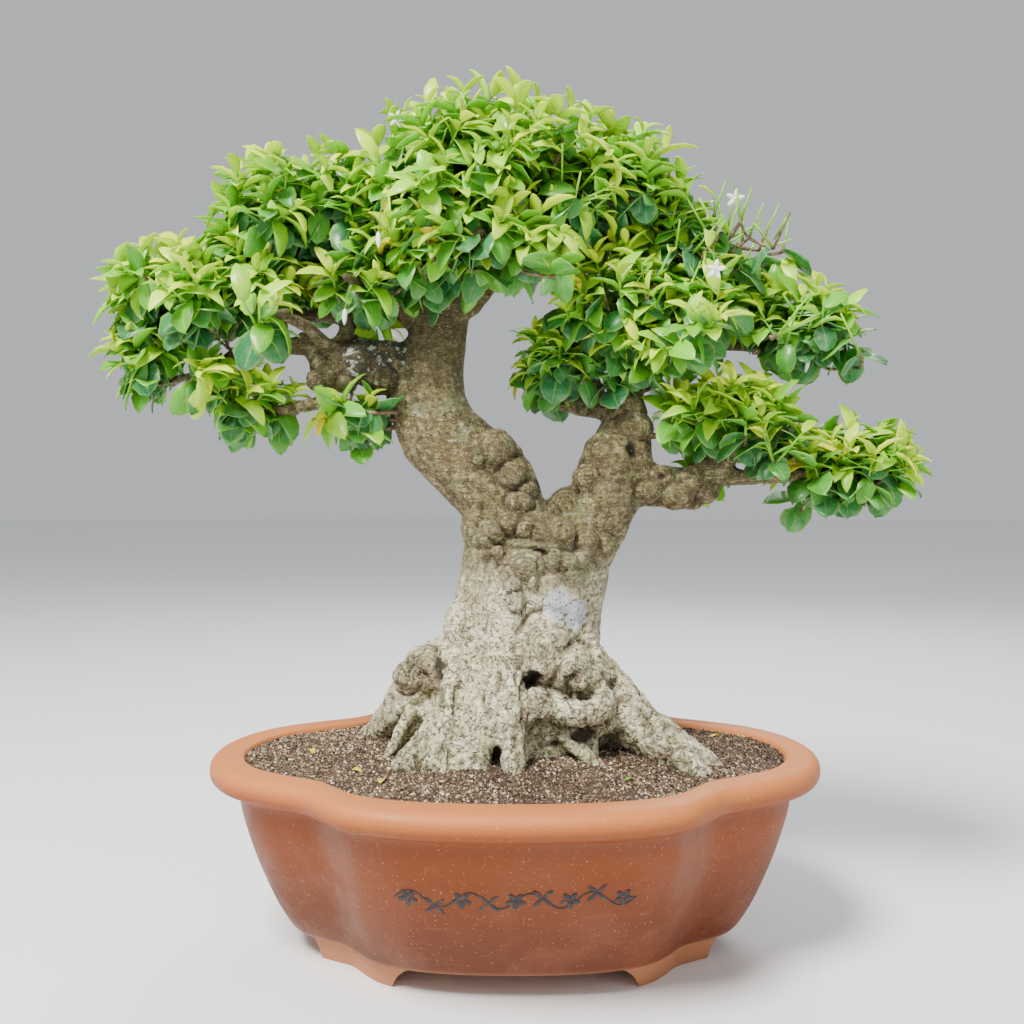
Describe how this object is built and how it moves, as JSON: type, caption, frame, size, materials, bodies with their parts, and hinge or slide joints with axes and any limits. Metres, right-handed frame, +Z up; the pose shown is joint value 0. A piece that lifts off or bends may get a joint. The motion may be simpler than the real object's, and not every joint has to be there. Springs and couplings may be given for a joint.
{
  "type": "potted bonsai tree",
  "caption": "Water jasmine bonsai with a stout forked trunk, spreading surface roots and leaf sprays, in soil in a four-lobed clay pot on low feet.",
  "frame": {"origin": "on the surface that the pot stands on, under the middle of the whole plant's box", "axes": "+Z up, -Y towards the front, +X to the right as seen from the front, along the pot's length"},
  "size_m": [0.6243, 0.334, 0.6157],
  "materials": {
    "clay": "unglazed terracotta, smooth, faintly burnished on the lip, with cream specks",
    "soil": "granular potting soil, dark brown with tan and cream grains",
    "bark": "old bark, cream grey low down and tan above, with burls, fissures and pits",
    "leaf": "leathery leaves, lime green when young and blue green with a pale sheen when old",
    "mesh": "black plastic mesh, moulded"
  },
  "bodies": {
    "root": {"pot": "clay", "soil": "soil", "wood": "bark", "drain_screen_left": "mesh", "drain_screen_right": "mesh", "spray_00": "leaf", "spray_01": "leaf", "spray_02": "leaf", "spray_03": "leaf", "spray_04": "leaf", "spray_05": "leaf", "spray_06": "leaf", "spray_07": "leaf", "spray_08": "leaf", "spray_09": "leaf", "spray_10": "leaf", "spray_11": "leaf", "spray_12": "leaf", "spray_13": "leaf", "spray_14": "leaf", "spray_15": "leaf", "spray_16": "leaf", "spray_17": "leaf", "spray_18": "leaf", "spray_19": "leaf", "spray_20": "leaf", "spray_21": "leaf", "spray_22": "leaf", "spray_23": "leaf", "spray_24": "leaf", "spray_25": "leaf", "spray_26": "leaf", "spray_27": "leaf", "spray_28": "leaf", "spray_29": "leaf", "spray_30": "leaf", "spray_31": "leaf", "spray_32": "leaf", "spray_33": "leaf", "spray_34": "leaf", "spray_35": "leaf", "spray_36": "leaf"}
  },
  "joints": []
}
